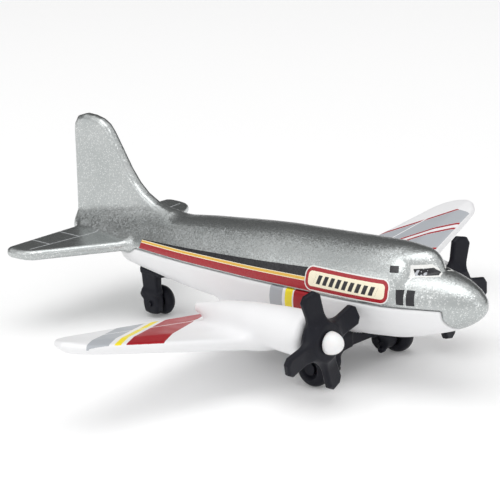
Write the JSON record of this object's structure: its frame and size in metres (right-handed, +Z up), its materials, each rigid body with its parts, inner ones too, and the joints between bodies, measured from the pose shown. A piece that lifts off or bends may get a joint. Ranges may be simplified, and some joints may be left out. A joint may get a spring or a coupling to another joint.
{
  "type": "toy propeller airliner",
  "caption": "Die-cast toy airliner with a tail fin, low wings, spinning propellers on domed pins and rolling wheels on a black undercarriage.",
  "frame": {"origin": "on the ground under the middle of the model, where the three wheels stand", "axes": "+X towards the nose, +Y to port, +Z up"},
  "size_m": [0.1, 0.1042, 0.0372],
  "materials": {
    "silver_paint": "metallic flake paint on die-cast zinc",
    "white_paint": "gloss white paint",
    "black_plastic": "satin black moulding",
    "white_plastic": "satin white moulding",
    "rivet_metal": "upset rivet head"
  },
  "bodies": {
    "airframe": {"upper_fuselage": "silver_paint", "lower_fuselage_and_wings": "white_paint", "undercarriage_frame": "black_plastic", "tail_gear_leg": "black_plastic", "main_axle_starboard": "black_plastic", "main_axle_port": "black_plastic", "tail_axle": "black_plastic", "spinner_pin_starboard": "white_plastic", "spinner_pin_port": "white_plastic", "front_rivet": "rivet_metal", "rear_rivet": "rivet_metal"},
    "starboard_propeller": {"propeller_starboard": "black_plastic"},
    "port_propeller": {"propeller_port": "black_plastic"},
    "starboard_wheel": {"main_wheel_starboard": "black_plastic"},
    "port_wheel": {"main_wheel_port": "black_plastic"},
    "rear_wheel": {"tail_wheel": "black_plastic"}
  },
  "joints": [
    {"name": "propeller_starboard_spin", "type": "hinge", "parent": "airframe", "child": "starboard_propeller", "pos_m": [0.0299, -0.0171, 0.0114], "axis": [1, 0, 0], "continuous": true},
    {"name": "propeller_port_spin", "type": "hinge", "parent": "airframe", "child": "port_propeller", "pos_m": [0.0299, 0.0171, 0.0114], "axis": [1, 0, 0], "continuous": true},
    {"name": "main_wheel_starboard_spin", "type": "hinge", "parent": "airframe", "child": "starboard_wheel", "pos_m": [0.022, -0.0107, 0.0033], "axis": [0, 1, 0], "continuous": true},
    {"name": "main_wheel_port_spin", "type": "hinge", "parent": "airframe", "child": "port_wheel", "pos_m": [0.022, 0.0107, 0.0033], "axis": [0, 1, 0], "continuous": true},
    {"name": "tail_wheel_spin", "type": "hinge", "parent": "airframe", "child": "rear_wheel", "pos_m": [-0.0273, 0.001, 0.00285], "axis": [0, 1, 0], "continuous": true}
  ]
}
